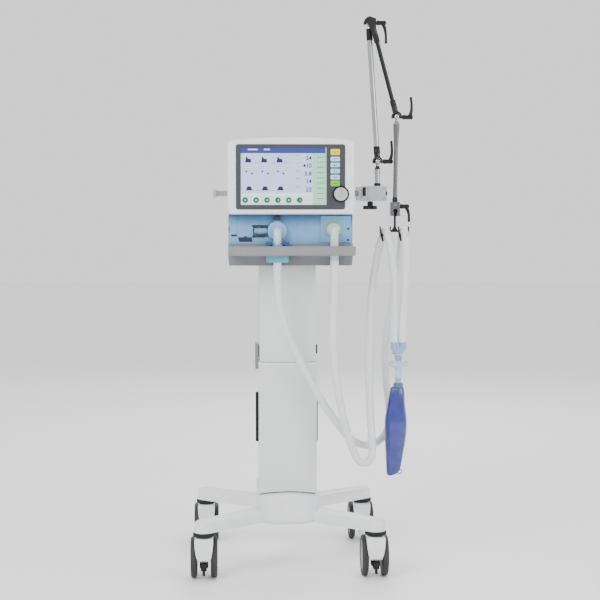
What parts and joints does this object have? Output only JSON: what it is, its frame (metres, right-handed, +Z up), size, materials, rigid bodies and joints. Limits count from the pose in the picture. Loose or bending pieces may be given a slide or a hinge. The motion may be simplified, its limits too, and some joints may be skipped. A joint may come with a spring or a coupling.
{
  "type": "mechanical ventilator",
  "caption": "Hospital ventilator on a wheeled column trolley, with touch screen, gas ports, side rails, a jointed hose arm, breathing hoses, filter and test lung.",
  "frame": {"origin": "on the floor under the middle of the machine's box, hoses and what hangs on them left out", "axes": "+X to the right as the operator faces the screen, +Y to the back, +Z up"},
  "size_m": [0.6885, 0.6345, 1.709],
  "materials": {
    "white_casting": "white powder coat",
    "bumper_rubber": "matte rubber",
    "castor_white": "moulded plastic, satin",
    "wheel": "grey-black tread",
    "pedal_black": "matte",
    "core_metal": "mill finish",
    "column_white": "fine textured",
    "plate_grey": "satin",
    "strip_dark": "matte",
    "tray_grey": "grey powder coat",
    "handle_grey": "satin",
    "casing_white": "fine satin",
    "bezel_grey": "satin",
    "screen": "glass-like, lit",
    "key_yellow": "satin",
    "key_blue": "satin",
    "key_green": "satin",
    "knob_grey": "satin",
    "panel_blue": "satin",
    "port_blue": "translucent blue",
    "sensor_clear": "clear",
    "elbow_pale": "translucent",
    "rail_steel": "brushed",
    "board_green": "circuit board",
    "blower_grey": "matte",
    "battery_black": "matte",
    "back_plate": "satin",
    "clamp_grey": "cast and painted light grey",
    "arm_black": "satin black",
    "tube_chrome": "chromed",
    "tube_dark": "dark anodised",
    "tube_silver": "satin anodised",
    "hose": "translucent white",
    "connector_blue": "translucent",
    "bag_blue": "glossy"
  },
  "bodies": {
    "root": {"base_casting": "white_casting", "caster_bumper_rings": "bumper_rubber", "column_core": "core_metal", "column_upper_cover": "column_white", "column_lower_cover": "column_white", "column_rear_cover": "column_white", "accessory_plate": "plate_grey", "column_side_strips": "strip_dark", "tray": "tray_grey", "front_handle": "handle_grey", "display_housing": "casing_white", "rear_housing": "casing_white", "display_frame": "bezel_grey", "touch_screen": "screen", "front_panel": "panel_blue", "sensor_cover": "panel_blue", "expiratory_valve": "port_blue", "elbow_holder": "port_blue", "flow_sensor": "sensor_clear", "expiratory_elbow": "elbow_pale", "inspiratory_elbow": "elbow_pale", "side_rails": "rail_steel", "main_board": "board_green", "blower_housing": "blower_grey", "battery_pack": "battery_black", "connector_panel": "back_plate", "rail_clamp": "clamp_grey", "inspiratory_hose": "hose", "expiratory_hose": "hose"},
    "arm_post": {"arm_post": "tube_chrome"},
    "arm_tube_1": {"arm_tube_1": "tube_chrome"},
    "arm_tube_2": {"arm_tube_2": "tube_dark"},
    "arm_tube_3": {"arm_tube_3": "tube_silver"},
    "hose_holder": {"hose_holder": "arm_black", "y_piece": "connector_blue", "breathing_filter": "connector_blue", "test_lung": "bag_blue"},
    "clamp_lever_post": {"clamp_lever_post": "arm_black"},
    "clamp_lever_top": {"clamp_lever_top": "arm_black"},
    "clamp_lever_elbow": {"clamp_lever_elbow": "arm_black"},
    "clamp_lever_end": {"clamp_lever_end": "arm_black"},
    "castor_front_left": {"caster_hood_front_left": "castor_white"},
    "wheels_front_left": {"caster_wheels_front_left": "wheel"},
    "brake_front_left": {"brake_lever_front_left": "pedal_black"},
    "castor_front_right": {"caster_hood_front_right": "castor_white"},
    "wheels_front_right": {"caster_wheels_front_right": "wheel"},
    "brake_front_right": {"brake_lever_front_right": "pedal_black"},
    "castor_rear_left": {"caster_hood_rear_left": "castor_white"},
    "wheels_rear_left": {"caster_wheels_rear_left": "wheel"},
    "castor_rear_right": {"caster_hood_rear_right": "castor_white"},
    "wheels_rear_right": {"caster_wheels_rear_right": "wheel"},
    "key_silence": {"key_silence": "key_yellow"},
    "key_reset": {"key_reset": "key_blue"},
    "key_freeze": {"key_freeze": "key_blue"},
    "key_print": {"key_print": "key_blue"},
    "key_suction": {"key_suction": "key_blue"},
    "key_standby": {"key_standby": "key_green"},
    "rotary_knob": {"rotary_knob": "knob_grey"},
    "clamp_knob": {"clamp_knob": "arm_black"},
    "blower_impeller": {"blower_impeller": "blower_grey"}
  },
  "joints": [
    {"name": "arm_post_swivel", "type": "hinge", "parent": "root", "child": "arm_post", "pos_m": [0.236, -0.095, 1.265], "axis": [0, 0, 1], "range_deg": [-30, 30], "deforming": ["inspiratory_hose", "expiratory_hose", "y_piece", "breathing_filter", "test_lung"]},
    {"name": "arm_lower_joint", "type": "hinge", "parent": "arm_post", "child": "arm_tube_1", "pos_m": [0.236, -0.095, 1.265], "axis": [0, 1, 0], "range_deg": [-15, 0], "deforming": ["inspiratory_hose", "expiratory_hose", "y_piece", "breathing_filter", "test_lung"]},
    {"name": "arm_top_joint", "type": "hinge", "parent": "arm_tube_1", "child": "arm_tube_2", "pos_m": [0.207, -0.095, 1.691], "axis": [0, 1, 0], "range_deg": [-20, 0], "deforming": ["inspiratory_hose", "expiratory_hose", "y_piece", "breathing_filter", "test_lung"]},
    {"name": "arm_elbow_joint", "type": "hinge", "parent": "arm_tube_2", "child": "arm_tube_3", "pos_m": [0.293, -0.113, 1.403], "axis": [0, 1, 0], "range_deg": [-15, 0], "deforming": ["inspiratory_hose", "expiratory_hose", "y_piece", "breathing_filter", "test_lung"]},
    {"name": "hose_holder_swivel", "type": "hinge", "parent": "arm_tube_3", "child": "hose_holder", "pos_m": [0.289, -0.113, 1.112], "axis": [0, 0, 1], "range_deg": [-45, 45], "deforming": ["inspiratory_hose", "expiratory_hose", "y_piece", "breathing_filter", "test_lung"]},
    {"name": "clamp_lever_post_turn", "type": "hinge", "parent": "arm_tube_1", "child": "clamp_lever_post", "pos_m": [0.252, -0.095, 1.265], "axis": [1, 0, 0], "range_deg": [-90, 0]},
    {"name": "clamp_lever_top_turn", "type": "hinge", "parent": "arm_tube_2", "child": "clamp_lever_top", "pos_m": [0.228, -0.113, 1.689], "axis": [1, 0, 0], "range_deg": [-90, 0]},
    {"name": "clamp_lever_elbow_turn", "type": "hinge", "parent": "arm_tube_2", "child": "clamp_lever_elbow", "pos_m": [0.309, -0.113, 1.401], "axis": [1, 0, 0], "range_deg": [0, 90]},
    {"name": "clamp_lever_end_turn", "type": "hinge", "parent": "arm_tube_3", "child": "clamp_lever_end", "pos_m": [0.304, -0.113, 1.126], "axis": [1, 0, 0], "range_deg": [-90, 0]},
    {"name": "castor_swivel_front_left", "type": "hinge", "parent": "root", "child": "castor_front_left", "pos_m": [-0.304, -0.283, 0.129], "axis": [0, 0, 1], "continuous": true},
    {"name": "wheel_roll_front_left", "type": "hinge", "parent": "castor_front_left", "child": "wheels_front_left", "pos_m": [-0.304, -0.245, 0.0625], "axis": [1, 0, 0], "continuous": true},
    {"name": "brake_pedal_front_left", "type": "hinge", "parent": "castor_front_left", "child": "brake_front_left", "pos_m": [-0.304, -0.269, 0.045], "axis": [1, 0, 0], "range_deg": [0, 10]},
    {"name": "castor_swivel_front_right", "type": "hinge", "parent": "root", "child": "castor_front_right", "pos_m": [0.216, -0.283, 0.129], "axis": [0, 0, 1], "continuous": true},
    {"name": "wheel_roll_front_right", "type": "hinge", "parent": "castor_front_right", "child": "wheels_front_right", "pos_m": [0.216, -0.245, 0.0625], "axis": [1, 0, 0], "continuous": true},
    {"name": "brake_pedal_front_right", "type": "hinge", "parent": "castor_front_right", "child": "brake_front_right", "pos_m": [0.216, -0.269, 0.045], "axis": [1, 0, 0], "range_deg": [0, 10]},
    {"name": "castor_swivel_rear_left", "type": "hinge", "parent": "root", "child": "castor_rear_left", "pos_m": [-0.304, 0.217, 0.129], "axis": [0, 0, 1], "continuous": true},
    {"name": "wheel_roll_rear_left", "type": "hinge", "parent": "castor_rear_left", "child": "wheels_rear_left", "pos_m": [-0.304, 0.255, 0.0625], "axis": [1, 0, 0], "continuous": true},
    {"name": "castor_swivel_rear_right", "type": "hinge", "parent": "root", "child": "castor_rear_right", "pos_m": [0.216, 0.217, 0.129], "axis": [0, 0, 1], "continuous": true},
    {"name": "wheel_roll_rear_right", "type": "hinge", "parent": "castor_rear_right", "child": "wheels_rear_right", "pos_m": [0.216, 0.255, 0.0625], "axis": [1, 0, 0], "continuous": true},
    {"name": "key_silence_press", "type": "slide", "parent": "root", "child": "key_silence", "axis": [0, 1, 0], "range_m": [0, 0.001], "stiffness_N_per_m": 1200},
    {"name": "key_reset_press", "type": "slide", "parent": "root", "child": "key_reset", "axis": [0, 1, 0], "range_m": [0, 0.001], "stiffness_N_per_m": 1200},
    {"name": "key_freeze_press", "type": "slide", "parent": "root", "child": "key_freeze", "axis": [0, 1, 0], "range_m": [0, 0.001], "stiffness_N_per_m": 1200},
    {"name": "key_print_press", "type": "slide", "parent": "root", "child": "key_print", "axis": [0, 1, 0], "range_m": [0, 0.001], "stiffness_N_per_m": 1200},
    {"name": "key_suction_press", "type": "slide", "parent": "root", "child": "key_suction", "axis": [0, 1, 0], "range_m": [0, 0.001], "stiffness_N_per_m": 1200},
    {"name": "key_standby_press", "type": "slide", "parent": "root", "child": "key_standby", "axis": [0, 1, 0], "range_m": [0, 0.001], "stiffness_N_per_m": 1200},
    {"name": "rotary_knob_turn", "type": "hinge", "parent": "root", "child": "rotary_knob", "pos_m": [0.1115, -0.233, 1.164], "axis": [0, 1, 0], "continuous": true},
    {"name": "clamp_knob_turn", "type": "hinge", "parent": "root", "child": "clamp_knob", "pos_m": [0.213, -0.103, 1.13], "axis": [0, 0, 1], "continuous": true},
    {"name": "blower_spin", "type": "hinge", "parent": "root", "child": "blower_impeller", "pos_m": [0.026, 0.027, 1.12], "axis": [0, 0, 1], "continuous": true}
  ]
}
